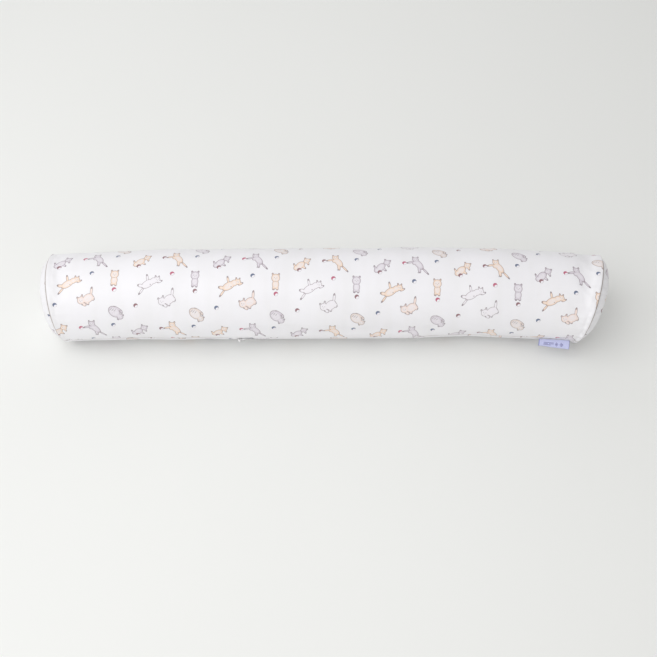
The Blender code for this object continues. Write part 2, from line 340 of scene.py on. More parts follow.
@functools.lru_cache(maxsize=1)
def puffed():
    """How the filled cover differs from the plain shape, as grids over the barrel and both end panels."""
    stations = sim_stations()
    angles = all_round(SIM_AROUND)
    shares = np.linspace(0.0, 1.0, SIM_RINGS + 1)[:-1]
    plain = {0: shape(stations[:, None], angles[None, :], 0.0)}
    start = {0: shape(stations[:, None], angles[None, :], SIM_INSET)}
    for side in (-1, 1):
        plain[side] = panel_shape(side, shares[:, None], angles[None, :], END_BULGE)
        start[side] = panel_shape(side, shares[:, None], angles[None, :], SIM_BULGE)
    count = SIM_ROWS * SIM_AROUND
    crowns = [panel_shape(side, np.ones(1), np.zeros(1), SIM_BULGE) for side in (-1, 1)]
    points = [start[0].reshape(-1, 3), *(start[side][1:].reshape(-1, 3) for side in (-1, 1)), *crowns]
    faces = [quads(SIM_ROWS, SIM_AROUND, True)]
    first = np.arange(SIM_AROUND)
    size = (SIM_RINGS - 1) * SIM_AROUND
    for index, side in enumerate((-1, 1)):
        begin = count + index * size
        rim = first if side < 0 else first + count - SIM_AROUND
        inner = first + begin
        band = np.stack([rim, np.roll(rim, -1), np.roll(inner, -1), inner], axis=-1)
        end = [band, quads(SIM_RINGS - 1, SIM_AROUND, True, begin)]
        end.append(fan(inner + size - SIM_AROUND, count + 2 * size + index))
        faces += [face[:, ::-1] for face in end] if side < 0 else end
    pinned = np.concatenate([first, first + count - SIM_AROUND])
    before = np.concatenate(points)
    after = before + capped(inflate(before, faces, pinned) - before, MOST_MOVE)
    fields = {0: after[:count].reshape(start[0].shape) - plain[0]}
    for index, side in enumerate((-1, 1)):
        begin = count + index * size
        grid = after[begin : begin + size].reshape(start[side][1:].shape) - plain[side][1:]
        fields[side] = np.concatenate([np.zeros_like(grid[:1]), grid])
    return fields


def spline_weights(place):
    """The four cubic B-spline weights at each fractional place, and its first row."""
    base = np.floor(place).astype(int)
    t = place - base
    weights = (
        (1 - t) ** 3 / 6,
        (3 * t**3 - 6 * t**2 + 4) / 6,
        (-3 * t**3 + 3 * t**2 + 3 * t + 1) / 6,
        t**3 / 6,
    )
    return base - 1, weights


def sample(field, rows, columns):
    """A field read smoothly at fractional rows and columns. Columns go round, and end rows are held."""
    first_row, row_weights = spline_weights(rows)
    first_column, column_weights = spline_weights(columns)
    total = 0.0
    for i, down in enumerate(row_weights):
        row = np.clip(first_row + i, 0, field.shape[0] - 1)
        for j, across in enumerate(column_weights):
            column = (first_column + j) % field.shape[1]
            total = total + field[row, column] * (down * across)[..., None]
    return total


# The cover's own folds

EDGE = 0.0021
LIP = 0.00025
SLIT_ROOM = 0.00040
ZIPPED_DIP = 0.0004
DIP_WIDE = 0.0016
VALLEY_DEEP = 0.0011
VALLEY_WIDE = 0.0065
# How wide the painted shade spreads from the end seams, and from the sewn long seam
SEAM_SHADE_WIDE = 0.0011
LONG_SEAM_SHADE_WIDE = 0.0019
PUCKER_DECAY = 0.019
# The left end's puckers and the right end's
PUCKERS = (0.00050, 0.00095)


def lumps(along, around):
    """Slow swells of the filling: three crossed waves of about 9, 13 and 20 cm."""
    turn = np.radians(around)
    first = np.sin(along * 47.0 + 1.3 * np.sin(turn) + 0.4)
    second = np.sin(along * 71.0 - 2.0 * np.cos(turn + 0.7))
    third = np.sin(along * 31.0 + 2.0 * turn + 1.9)
    return 0.00040 * first + 0.00025 * second + 0.00040 * third


def puckers(past, around, side):
    """Small folds that run out from an end seam and die away from it, as gathered stitches leave.

    A sum of three cosines round the seam, times an exponential of the distance from it, stronger
    at the front and on the right end, which leans in more.
    """
    turn = np.radians(around)
    phase = 0.8 if side > 0 else 2.1
    wave = np.cos(19 * turn + 1.1 * np.sin(2 * turn + phase)) + 0.8 * np.cos(31 * turn + phase)
    wave = wave + 0.6 * np.cos(43 * turn + 1.7 * np.cos(3 * turn))
    front = 0.5 + 0.5 * np.cos(turn - math.radians(SEAM_ANGLE - 30.0))
    strength = at_end(PUCKERS, side) * (0.30 + 0.70 * front**3)
    return strength * wave * np.exp(-past / PUCKER_DECAY) * smooth_step(past, -0.001, 0.005)


def sewn_share(x, past=0.006):
    """1 where the long seam is sewn up and 0 along the zip, blending past the end of the tape."""
    return smooth_step(np.abs(x), ZIP_HALF, TAPE_HALF + past)


def long_folds(x, arc):
    """Slight dimples beside the sewn stretches of the long seam, about 12 mm apart."""
    beat = np.sin(x * 520.0 + 2.0 * np.sin(x * 37.0)) + 0.6 * np.sin(x * 291.0 + 1.0)
    return 0.00016 * sewn_share(x, 0.010) * beat * np.exp(-near_seam(arc) / 0.009)


def seam_dip(x, arc):
    """How far the cloth dips beside the long seam: a narrow bell on a wide one, less deep at the zip."""
    near, sewn = near_seam(arc), sewn_share(x)
    deep = ZIPPED_DIP + (bpy.context.scene.bolster_sizes.sewn_dip - ZIPPED_DIP) * sewn
    return deep * bell(near, DIP_WIDE) + VALLEY_DEEP * sewn * bell(near, VALLEY_WIDE)


def bell(away, wide):
    """1 in the middle, falling as the exponential of minus the square of the distance over wide."""
    return np.exp(-((away / wide) ** 2))


def slit_room(x, arc):
    """How far each side stands off the seam's line where the zip's slit is, fading round the cover."""
    side = np.where(arc < 0.5 * ROUND, 1.0, -1.0)
    return SLIT_ROOM * (1.0 - sewn_share(x, 0.0)) * np.exp(-near_seam(arc) / 0.004) * side


def zip_calm(x, angle):
    """1 where the cover lies on the rigid zip, 0 a little way off it, so that no swell moves it there."""
    return (1.0 - smooth_step(np.abs(x), 0.156, 0.190)) * (1.0 - smooth_step(off_seam(angle), 9.0, 26.0))


def barrel_surface(x, angle, inset):
    """The puffed barrel: its plain shape, plus the simulated move read at the same place and the swells."""
    x, angle, inset = np.broadcast_arrays(x, angle, inset)
    rows = np.interp(x, sim_stations(), np.arange(SIM_ROWS))
    past = HALF - np.abs(x)
    free = smooth_step(past, 0.0, 0.020) * (1.0 - zip_calm(x, angle))
    pucker = np.where(x > 0, puckers(past, angle, 1), puckers(past, angle, -1))
    place = shape(x, angle, inset - lumps(x, angle) * free - pucker)
    place = place + sample(puffed()[0], rows, sim_columns(angle)) * free[..., None]
    place[..., 2] = not_below(place[..., 2], inset, FLOOR_SOFT)
    return place


def end_middle(side):
    """Y and Z of an end panel's middle."""
    return np.array([-at_end(BOW, side), END_RADIUS - SAG])


def panel_surface(side, share, angle, deeper=0.0):
    """The puffed end panel, or the layer that lies deeper inside it.

    The simulated move is read at the same place, and blends into its own mean towards the crown, so
    that the crown stays smooth. Puckers and the deeper layer's inset are measured along a line that
    points out of the dome.
    """
    share, angle = np.broadcast_arrays(share, angle)
    place = panel_shape(side, share, angle, END_BULGE)
    free = smooth_step(share, 0.0, 0.22)
    field = puffed()[side]
    near_crown = smooth_step(share, 0.70, 0.97)[..., None]
    move = sample(field, share * SIM_RINGS, sim_columns(angle)) * (1.0 - near_crown)
    move = move + field[-1].mean(axis=0) * near_crown
    place = place + move * free[..., None]
    out = place - [0.0, *end_middle(side)]
    out[..., 0] = side * 0.035
    out /= np.linalg.norm(out, axis=-1, keepdims=True)
    fold = puckers(share * END_RADIUS, angle, side) * 1.2
    place = place + out * (fold - deeper)[..., None]
    place[..., 2] = not_below(place[..., 2], deeper + 0.0003, FLOOR_SOFT)
    return place


# The cover's pieces

END_HEM = np.array([0.0030, 0.0048, 0.0080])
PANEL_HEM = np.array([0.0090, 0.0064, 0.0046, 0.0037])
PANEL_HEM_PAST = 0.0007
# Where the print's repeat falls on the end panels: how far apart on the two, and how far up
PANEL_PRINT = ((-0.011, 0.018), (0.051, 0.018))


def edge_rows():
    """The barrel's rows at an end seam, as distance before the seam and inset.

    A quarter circle of radius EDGE turns the cloth over, and the allowance then runs inwards.
    """
    turn = np.linspace(0.0, 0.5 * np.pi, 9)
    before = EDGE * (1.0 - np.sin(turn))
    inset = EDGE * (1.0 - np.cos(turn))
    return np.concatenate([before, np.full(len(END_HEM), 0.0001)]), np.concatenate([inset, END_HEM])


def barrel_rows(count=233):
    """X and inset of every row of the barrel, its end hems included."""
    before, inset = edge_rows()
    body = (HALF - EDGE - 0.0006) * crowded(count, 1.15)
    x = np.concatenate([-HALF + before[::-1], body, HALF - before])
    return x, np.concatenate([inset[::-1], np.zeros(count), inset])


def barrel_columns(count=196):
    """Every column's distance round from the long seam, and how much deeper its turned-in hem lies."""
    lip = LIP + np.array([0.0, 0.10, 0.30, 0.65, 1.2, 1.9, 2.7, 3.9, 5.4, 7.2]) * MM
    hem = LIP + np.array([4.0, 1.4, 0.10]) * MM
    body = np.linspace(0.0095, ROUND - 0.0095, count)
    arc = np.concatenate([hem, lip, body, ROUND - lip[::-1], ROUND - hem[::-1]])
    turned = np.array([0.60, 0.60, 0.50, 0.20, 0.05]) * MM
    deep = np.concatenate([turned, np.zeros(len(arc) - 2 * len(turned)), turned[::-1]])
    at_lip = np.zeros(len(arc), bool)
    at_lip[: len(hem)] = at_lip[-len(hem) :] = True
    return arc, deep, at_lip


def make_barrel():
    """The printed tube, hemmed at both ends and at both sides of the long seam.

    Its flat place is X, the distance round from the print's first row, and the weight of the
    painted shade in the seams' creases, from 0 to 1 mm.
    """
    x, roll = barrel_rows()
    arc, deep, at_lip = barrel_columns()
    x, arc = np.meshgrid(x, arc, indexing="ij")
    dip = seam_dip(x, np.where(at_lip, LIP, arc)) + long_folds(x, arc) * ~at_lip
    angle = SEAM_ANGLE + np.degrees((arc + slit_room(x, arc)) / RADIUS)
    points = barrel_surface(x, angle, roll[:, None] + dip + deep[None, :])
    rise = np.radians(360.0 + PRINT_ANGLE - angle) * RADIUS
    # Painted shade: the weight that darkens the cloth in the long seam's crease and at both end seams
    creases_and_painted_seam_shade = sewn_share(x) * bell(near_seam(arc), LONG_SEAM_SHADE_WIDE) + bell(HALF - np.abs(x), SEAM_SHADE_WIDE)
    cloth = np.stack([points[..., 0], rise, MM * np.minimum(creases_and_painted_seam_shade, 1.0)], axis=-1)
    return piece("cover_barrel_cloth", points, [quads(*x.shape)], cloth)


def domed(side, share, angles, deeper, hem_x, hem_inset):
    """Points and faces of an end panel with a hem turned in at its rim and its crown closed."""
    place = panel_surface(side, share[:, None], angles[None, :], deeper)
    hem = shape(side * (HALF + hem_x), angles[None, :], hem_inset[:, None], PANEL_SOFT)
    points = np.concatenate([hem, place])
    crown = points[-1].mean(axis=0) + [side * 0.00006, 0.0, 0.0]
    rows, columns = points.shape[:2]
    last = np.arange(columns) + (rows - 1) * columns
    faces = [quads(rows, columns, True), fan(last, rows * columns)]
    if side < 0:
        faces = [face[:, ::-1] for face in faces]
    return np.concatenate([points.reshape(-1, 3), crown[None]]), faces


def make_panel(side, word):
    """An end panel: a dome whose rim turns back into the seam beside the barrel's edge.

    Its flat place is the place across the panel, drawn out towards the rim as the dome is steeper
    there, and the weight of the painted shade in the seam's crease, from 0 to 1 mm.
    """
    angles = all_round(240)
    share = np.concatenate([[0.0], np.linspace(0.006, 0.992, 48) ** 1.08])
    points, faces = domed(side, share, angles, 0.0, PANEL_HEM_PAST, PANEL_HEM)
    flat = (points[:, 1:] - end_middle(side)) * [side, 1.0]
    reach = np.linalg.norm(flat, axis=-1, keepdims=True)
    cloth = flat * (1.0 + 0.10 * (reach / RADIUS) ** 2) + PANEL_PRINT[side > 0]
    below_rim = np.repeat(np.concatenate([0.0 * PANEL_HEM, share]), len(angles)) * RADIUS
    # Painted shade at the panel's rim, where it turns into the end seam
    cloth = np.column_stack([cloth, MM * bell(np.append(below_rim, RADIUS), SEAM_SHADE_WIDE)])
    return piece("cover_panel_" + word, points, faces, cloth)


# The insert: its bag and its filling. Each layer's inset behind the barrel and behind the end panels, and
# how much shorter its barrel is at each end

BAG_INSET, BAG_DEEPER, BAG_SHORTER = 0.0019, 0.0022, 0.003
FILL_INSET, FILL_DEEPER, FILL_SHORTER = 0.0040, 0.0048, 0.007
BAG_HEM = np.array([0.0085, 0.0070])
BAG_HEM_PAST = -0.0024
ZIP_HOLLOW = 0.0046


def inner_barrel(inset, shorter, rows, columns):
    """A ring of cloth inside the cover, hollowed behind the zip where the coils and slider lie."""
    end = HALF - shorter
    x, angles = np.meshgrid(end * crowded(rows, 1.2), all_round(columns), indexing="ij")
    arc = np.radians(angles - SEAM_ANGLE) * RADIUS
    hollow = (1.0 - smooth_step(np.abs(x), 0.160, 0.190)) * (1.0 - smooth_step(off_seam(angles), 5.0, 16.0))
    roll = 0.0030 * smooth_step(np.abs(x), end - 0.010, end) ** 2
    return barrel_surface(x, angles, inset + roll + seam_dip(x, arc) + ZIP_HOLLOW * hollow)


def make_bag():
    """The insert's bag: a barrel and two domed ends, each a separate cloth."""
    barrel = inner_barrel(BAG_INSET, BAG_SHORTER, 91, 96)
    made = [piece("insert_bag_barrel", barrel, [quads(*barrel.shape[:2], True)])]
    share = np.linspace(0.03, 0.97, 18)
    for side, word in SIDES:
        points, faces = domed(side, share, all_round(96), BAG_DEEPER, BAG_HEM_PAST, BAG_HEM)
        made.append(piece("insert_bag_end_" + word, points, faces))
    return made


def make_filling():
    """The fibre filling, one closed body: a barrel whose two ends run on into domes."""
    barrel = inner_barrel(FILL_INSET, FILL_SHORTER, 81, 84)
    angles = all_round(84)[None, :]
    share = np.linspace(0.05, 0.96, 14)[:, None]
    left = panel_surface(-1, share[::-1], angles, FILL_DEEPER)
    right = panel_surface(1, share, angles, FILL_DEEPER)
    points = np.concatenate([left, barrel, right])
    rows, columns = points.shape[:2]
    count = rows * columns
    first = np.arange(columns)
    faces = [quads(rows, columns, True), fan(first[::-1], count), fan(first + count - columns, count + 1)]
    tips = [points[0].mean(axis=0), points[-1].mean(axis=0)]
    return piece("fibre_filling", np.concatenate([points.reshape(-1, 3), tips]), faces)


# Stitches


def stitched(path, closed):
    """A sewing thread along a path, thinner and deeper where each stitch goes through the cloth."""
    sizes = bpy.context.scene.bolster_sizes
    step = np.linalg.norm(np.diff(path, axis=0), axis=1)
    along = np.concatenate([[0.0], np.cumsum(step)])
    count = max(8, round(along[-1] / sizes.stitch))
    phase = np.pi * along / along[-1] * count
    thick = 0.55 + 0.45 * np.abs(np.sin(phase)) ** 0.5
    profile = ring(sizes.thread, 6) * thick[:, None, None]
    return carried(path, profile, closed)


def make_end_stitches(side, word):
    """The thread down in the groove between the barrel and an end panel."""
    path = shape(side * (HALF + 0.00045), all_round(1080), 0.0027, PANEL_SOFT)
    return piece("end_stitching_" + word, *stitched(path, True))


def make_long_stitches(side, word):
    """The thread at the bottom of the long seam's dip, from past the zip's tape to near the end."""
    x = side * np.linspace(TAPE_HALF + 0.002, HALF - 0.004, 620)
    inset = seam_dip(x, np.zeros_like(x)) + 0.00012
    path = barrel_surface(x, np.full_like(x, SEAM_ANGLE), inset)
    return piece("long_stitching_" + word, *stitched(path, False))


# The zip

TAPE_WIDTH = 0.0125
TAPE_INSET = 0.00125
TAPE_THICK = 0.00042
COIL_Y = 0.0015
COIL_Z = -0.0027
# The wound coil's half width and half height, and its thread's radius
COIL_WIND = (0.00062, 0.00048)
COIL_THREAD = 0.00024
STOP_SIZE = (0.0020, 0.0050, 0.0020)
STOP_PAST = 0.0013
STOP_Z = -0.0031
SLIDER_X = -0.13875
PIVOT_Z = 0.0030
TAB_LEAN = 5.0
TAB_LENGTH = 0.024
TAB_WIDTH = 0.0060
TAB_HALF_THICK = 0.00045


def zip_place(points):
    """Points from the zip's own frame, X along it, Y up the cover and Z out of it, to the pillow's."""
    turn = math.radians(SEAM_ANGLE)
    out = np.array([0.0, math.cos(turn), math.sin(turn)])
    up = np.array([0.0, math.sin(turn), -math.cos(turn)])
    points = np.asarray(points)
    middle = shape(0.0, SEAM_ANGLE, 0.0)
    return middle + points[..., :1] * [1.0, 0.0, 0.0] + points[..., 1:2] * up + points[..., 2:] * out


def make_tape(word, sign):
    """One woven strip of the zip: a thin closed wall that follows the cover's curve, with a corded edge."""
    x = np.linspace(-TAPE_HALF, TAPE_HALF, 63)
    arc = np.linspace(0.0007, 0.0007 + TAPE_WIDTH, 13)
    cord = 0.00022 * np.exp(-((arc - 0.0011) / 0.0006) ** 2)
    front = np.stack([arc, TAPE_INSET - 0.5 * cord])
    back = np.stack([arc, TAPE_INSET + TAPE_THICK + 0.5 * cord])
    loop = np.concatenate([front, back[:, ::-1]], axis=1)
    place = shape(x[:, None], SEAM_ANGLE + sign * np.degrees(loop[0] / RADIUS), loop[1])
    rows, columns = place.shape[:2]
    points = place.reshape(-1, 3)
    first = np.arange(columns)
    faces = [quads(rows, columns, True)]
    half = columns // 2
    for start, turned in ((0, True), (len(points) - columns, False)):
        near = first[: half - 1] + start
        far = columns - 1 - first[: half - 1] + start
        cap = np.stack([near, near + 1, far - 1, far], axis=-1)
        faces.append(cap[:, ::-1] if turned else cap)
    if sign < 0:
        faces = [face[:, ::-1] for face in faces]
    flat = np.stack(np.broadcast_arrays(x[:, None], loop[0]), axis=-1)
    return piece("zip_tape_" + word + "_woven", points, faces, flat)


def make_coil(word, sign):
    """A nylon coil: a flattened helix, wound along the tape's inner edge."""
    turns = round(2 * ZIP_HALF / bpy.context.scene.bolster_sizes.coil_pitch)
    phase = np.linspace(0.0, 2 * np.pi * turns, turns * 8 + 1) + (0.0 if sign > 0 else np.pi)
    x = np.linspace(-ZIP_HALF, ZIP_HALF, len(phase))
    y = sign * (COIL_Y - COIL_WIND[0] * np.cos(phase))
    z = COIL_Z + COIL_WIND[1] * np.sin(phase)
    path = zip_place(np.stack([x, y, z], axis=-1))
    return piece("zip_coil_" + word + "_wound", *carried(path, ring(COIL_THREAD, 5)))


def make_stop(word, sign):
    """An end stop: a small clamped metal block with rounded edges."""
    points, faces = block(STOP_SIZE, (sign * (ZIP_HALF + STOP_PAST), 0.0, STOP_Z), 0.30, 10, 20)
    return piece("zip_stop_" + word + "_clamped", zip_place(points), faces)


def arch(half_length, height, width, thick):
    """A flat bar bent into a low arch along X: half an ellipse, whose feet run down into the crown."""
    turn = np.linspace(-0.12, np.pi + 0.12, 25)
    path = np.stack([-half_length * np.cos(turn), 0 * turn, height * np.sin(turn)], axis=-1)
    around = np.linspace(0.0, 2 * np.pi, 16, endpoint=False)
    corner = np.stack([np.cos(around), np.sin(around)], axis=-1)
    corner = np.sign(corner) * np.abs(corner) ** 0.5
    return carried(path, corner * [0.5 * width, 0.5 * thick], up=(0.0, 1.0, 0.0))


def make_slider():
    """The slider: inner plate, neck through the slit, shield-shaped crown and the tab's bridge.

    The crown is a block that narrows evenly along X and whose sides droop as the square of Y.
    """
    plate = block((0.0095, 0.0066, 0.0009), (0.0, 0.0, -0.0042), 0.3)
    neck = block((0.0060, 0.0006, 0.0048), (0.0, 0.0, -0.0017), 0.5, 12, 20)
    crown = block((0.0090, 0.0058, 0.0010), (0.0, 0.0, 0.0009), 0.42, 16, 40)
    crown[0][:, 1] *= 1.0 - 0.16 * (crown[0][:, 0] / 0.0045 + 1.0) * 0.5
    crown[0][:, 2] -= 0.00025 * (crown[0][:, 1] / 0.0029) ** 2
    bridge = arch(0.0019, 0.0031, 0.0022, 0.0007)
    bridge[0][:, 2] += 0.0013
    points, faces = gathered([plate, neck, crown, bridge])
    return piece("zip_slider_metal", zip_place(points + [SLIDER_X, 0.0, 0.0]), faces)


def make_pull():
    """The pull tab: a flat plate with a round end, a window at its bar and a shallow dished face.

    Each ring of the plate runs between the window's outline and the outer outline, as a share of the
    way from one to the other, and both faces and both rims close on themselves.
    """
    count = 96
    turn = np.linspace(0.0, 2 * np.pi, count, endpoint=False)
    half = 0.5 * TAB_WIDTH
    cosine, sine = np.cos(turn), np.sin(turn)
    square_x, square_y = (np.sign(wave) * np.abs(wave) ** 0.45 for wave in (cosine, sine))
    window = np.stack([0.00275 + 0.0021 * square_x, 0.0017 * square_y], axis=-1)
    left = np.stack([0.0030 + 0.0036 * square_x, half * square_y], axis=-1)
    right = np.stack([TAB_LENGTH - half + half * cosine, half * sine], axis=-1)
    outer = np.where(cosine[:, None] > 0.0, right, left)
    steps = [(0.0, 0.55), (0.06, 0.9), (0.16, 1.0), (0.5, 1.0), (0.84, 1.0), (0.94, 0.9), (1.0, 0.55)]
    rings = []
    for share, high in steps + [(share, -high) for share, high in steps[::-1]]:
        flat = window + (outer - window) * share
        rings.append(np.column_stack([flat, np.full(count, TAB_HALF_THICK * high)]))
    rows = len(rings)
    faces = [quads(rows + 1, count, True)[:, ::-1] % (rows * count)]
    x, y, z = np.concatenate(rings).T
    lean = math.radians(TAB_LEAN)
    along = x * math.cos(lean) + z * math.sin(lean) + SLIDER_X
    high = z * math.cos(lean) - x * math.sin(lean) + PIVOT_Z
    return piece("zip_pull_tab_metal", zip_place(np.column_stack([along, y, high])), faces)


# The label

LABEL_HALF = 0.025
LABEL_REACH = 0.0118
LABEL_SLANT = 0.15
LABEL_DROOP = 10.0
# Half the loop's opening on its right side, and how much more its left side opens
LABEL_OPEN = (0.00105, 0.00125)


def label_frame():
    """The label's root on the long seam, and its directions along the seam, up the cover and out."""
    root = shape(LABEL_X, SEAM_ANGLE, 0.0)
    along = shape(LABEL_X + 0.02, SEAM_ANGLE, 0.0) - shape(LABEL_X - 0.02, SEAM_ANGLE, 0.0)
    along[2] = 0.0
    along /= np.linalg.norm(along)
    turn = math.radians(SEAM_ANGLE + LABEL_DROOP)
    out = np.array([0.0, math.cos(turn), math.sin(turn)])
    out -= along * (out @ along)
    out /= np.linalg.norm(out)
    return root, along, np.cross(out, along), out


def make_label():
    """A ribbon folded in half, its two ends sewn into the seam and its fold standing off it.

    Down one leaf and up the other, the ribbon's distance from the middle plane is a root of the
    distance to the fold. The loop opens a little towards its left side, its free edge waves, and it
    droops as the square of the way out. It is sewn in askew, so its right side stands further out.
    """
    across = np.linspace(-1.0, 1.0, 61)[:, None]
    leaf_rows = np.linspace(-1.0, -0.16, 22)
    fold_rows = -0.16 * np.cos(np.linspace(0.0, np.pi, 19))[1:-1]
    down = np.concatenate([leaf_rows, fold_rows, -leaf_rows[::-1]])[None, :]
    share = 1.0 - np.abs(down)
    open_left = LABEL_OPEN[0] + LABEL_OPEN[1] * (1.0 - smooth_step(across, -1.0, 0.1))
    gap = np.sqrt(np.clip(1.0 - share**6, 0.0, 1.0)) * smooth_step(share, -0.25, 0.45)
    leaf = -np.sign(down) * gap * open_left
    wave = 0.0006 * np.sin(across * 3.6 + 0.5) * share**2 + 0.0004 * np.sin(across * 7.0) * share**3
    askew = 1.0 + LABEL_SLANT * across + 0.012 * np.sin(across * 4.4 + 1.0)
    reach = LABEL_REACH * (share * 1.10 - 0.10) * askew
    droop = -(0.0016 + 0.0009 * (1.0 - across)) * share**2
    root, along, up, out = label_frame()
    side = across * LABEL_HALF + 0 * share
    high = leaf + wave + droop
    grid = root + side[..., None] * along + high[..., None] * up + reach[..., None] * out
    step = np.linalg.norm(np.diff(grid[30], axis=0), axis=-1)
    run = np.concatenate([[0.0], np.cumsum(step)])
    flat = np.stack(np.broadcast_arrays(side, run[None, :] - 0.5 * run[-1]), axis=-1)
    obj = piece("folded_label", grid, [quads(*side.shape)], flat)
    wall = obj.modifiers.new("Thickness", "SOLIDIFY")
    wall.thickness = bpy.context.scene.bolster_sizes.label_thick
    wall.offset = 0.0
    applied(obj)
    return obj, (2 * LABEL_HALF, float(run[-1])), root, out


def applied(obj):
    """The piece with its modifiers made part of its mesh."""
    graph = bpy.context.evaluated_depsgraph_get()
    shown = obj.evaluated_get(graph)
    mesh = bpy.data.meshes.new_from_object(shown, preserve_all_data_layers=True, depsgraph=graph)
    obj.modifiers.clear()
    obj.data = mesh


# Finishes


def srgb(red, green, blue, alpha=1.0):
    """A colour given in 0 to 255 display steps, as linear light."""
    steps = np.array([red, green, blue]) / 255.0
    light = np.where(steps <= 0.04045, steps / 12.92, ((steps + 0.055) / 1.055) ** 2.4)
    return (*light.tolist(), alpha)


class Wire:
    """One output of a node. Arithmetic on it adds a Math node, or a Vector Math node for vectors."""

    def __init__(self, finish, socket):
        self.finish = finish
        self.socket = socket

    def solve(self, operation, *values):
        vector = any(isinstance(value, Wire) and value.socket.type == "VECTOR" for value in values)
        kind = "VectorMath" if vector else "Math"
        return self.finish.node(kind, {"operation": operation}, dict(enumerate(values)))

    def __add__(self, other):
        return self.solve("ADD", self, other)

    def __radd__(self, other):
        return self.solve("ADD", other, self)

    def __sub__(self, other):
        return self.solve("SUBTRACT", self, other)

    def __rsub__(self, other):
        return self.solve("SUBTRACT", other, self)

    def __mul__(self, other):
        return self.solve("MULTIPLY", self, other)

    def __rmul__(self, other):
        return self.solve("MULTIPLY", other, self)

    def __abs__(self):
        return self.solve("ABSOLUTE", self)

    def least(self, other, soft=0.0):
        """The smaller of two values, rounded over soft where they meet."""
        if soft:
            return self.solve("SMOOTH_MIN", self, other, soft)
        return self.solve("MINIMUM", self, other)

    def most(self, other):
        return self.solve("MAXIMUM", self, other)

    def sine(self):
        return self.solve("SINE", self)

    def part(self, name):
        """One coordinate of a vector."""
        return self.finish.node("SeparateXYZ", {}, {0: self}, name)

    def below(self, limit, soft):
        """1 where the value is under limit, 0 above it, with a smooth edge as wide as soft."""
        inputs = {"Value": self, "From Min": limit - 0.5 * soft, "From Max": limit + 0.5 * soft}
        inputs.update({"To Min": 1.0, "To Max": 0.0})
        return self.finish.node("MapRange", {"interpolation_type": "SMOOTHSTEP", "clamp": False}, inputs)


class Finish:
    """A material that is being put together, with one way to add any node."""

    def __init__(self, name):
        self.material = bpy.data.materials.new(name)
        self.material.use_nodes = True
        self.tree = self.material.node_tree
        self.shader = self.tree.nodes["Principled BSDF"]

    def plug(self, socket, value):
        if isinstance(value, Wire):
            self.tree.links.new(value.socket, socket)
        elif socket.type in ("VECTOR", "RGBA") and not hasattr(value, "__len__"):
            socket.default_value = (value,) * len(socket.default_value)
        else:
            socket.default_value = value

    def node(self, kind, settings, inputs, out=0):
        """A node of this kind, its settings set first and then its sockets, as one of its outputs."""
        made = self.tree.nodes.new("ShaderNode" + kind)
        for name, value in settings.items():
            setattr(made, name, value)
        for name, value in inputs.items():
            self.plug(made.inputs[name], value)
        return Wire(self, made.outputs[out])

    def hue(self, name):
        """One of the colours that a user can change."""
        return tuple(getattr(bpy.context.scene.bolster_colours, name))

    def mix(self, share, first, second):
        """The second colour over the first, by share."""
        return self.node("Mix", {"data_type": "RGBA"}, {0: share, 6: first, 7: second}, 2)

    def noise(self, place, scale, detail=2.0, rough=0.5):
        inputs = {"Vector": place, "Scale": scale, "Detail": detail, "Roughness": rough}
        return self.node("TexNoise", {}, inputs)

    def place(self):
        """The place on the object, in metres."""
        return self.node("TexCoord", {}, {}, "Object")

    def fine_place(self):
        """The place on the object, in millimetres."""
        return self.place() * ((1.0 / MM,) * 3)

    def cloth(self):
        """The place on the flat cloth, in millimetres. On the cover its third number is the weight of the
        painted shade in the seams.
        """
        flat = self.node("Attribute", {"attribute_name": "cloth"}, {}, "Vector")
        return flat * ((1.0 / MM,) * 3)

    def bump(self, height, distance, strength=1.0):
        """The surface tilted by a height that runs from 0 to 1 over distance, in metres."""
        inputs = {"Height": height, "Distance": distance, "Strength": strength}
        return self.node("Bump", {}, inputs)

    def set(self, **values):
        """Values or wires for the shader's sockets, with _ for a space in their names."""
        for name, value in values.items():
            self.plug(self.shader.inputs[name.replace("_", " ")], value)
        return self.material


# The print: kittens at play and little balls, on a square repeat

# The repeat and where it begins in millimetres, its turn in degrees and its stretch round the cover
REPEAT = 129.7
PRINT_LEFT = -439.0
PRINT_SLOPE = -2.5
PRINT_STRETCH = 1.0125
# The outline's width in millimetres, and how strongly outlines, dark marks and the balls' rims print
OUTLINE = 0.62
OUTLINE_INK = 0.68
MARK_INK = 0.50
BALL_INK = 0.55
# How much wider and taller a kitten is than its ovals as listed
DRAWN = (1.15, 1.30)

# Each kitten is a list of ovals: x, y, half length, half width and turn, in millimetres and degrees
STRETCHING = (
    (-1.0, -0.5, 9.4, 4.7, 27), (6.8, 3.6, 4.8, 3.9, 12), (11.6, 5.0, 4.2, 3.5, 0),
    (9.3, 8.7, 1.2, 2.0, 14), (13.6, 8.4, 1.1, 1.9, -22), (15.6, 2.6, 3.4, 1.3, 24),
    (-2.2, 7.2, 1.5, 4.4, 14), (-10.8, -3.0, 4.4, 2.0, -8), (-9.4, -9.6, 1.3, 5.4, -38),
)
STRETCHING_DARK = (
    (-3.4, 11.0, 1.2, 1.2, 0), (-14.4, -2.5, 1.1, 1.3, 0), (-12.5, -13.2, 1.2, 1.5, -38),
    (18.2, 3.9, 1.0, 0.9, 0), (9.2, 9.4, 0.7, 1.1, 14), (13.9, 9.0, 0.7, 1.0, -22),
    (10.6, 5.6, 0.42, 0.5, 0), (13.1, 5.4, 0.42, 0.5, 0), (12.2, 4.0, 0.5, 0.35, 0),
    (2.6, -1.4, 1.0, 0.8, 30),
)
ROLLING = (
    (3.4, -0.6, 7.8, 5.6, 26), (-6.2, -3.2, 5.3, 4.7, 12), (-11.0, -0.4, 1.4, 1.9, 42),
    (-5.2, 2.5, 1.3, 1.9, -6), (-2.0, -8.2, 3.4, 2.0, -24), (3.0, -6.6, 2.6, 1.9, -50),
    (10.4, -0.6, 2.0, 2.9, 8), (7.6, 8.4, 1.7, 5.4, -4),
)
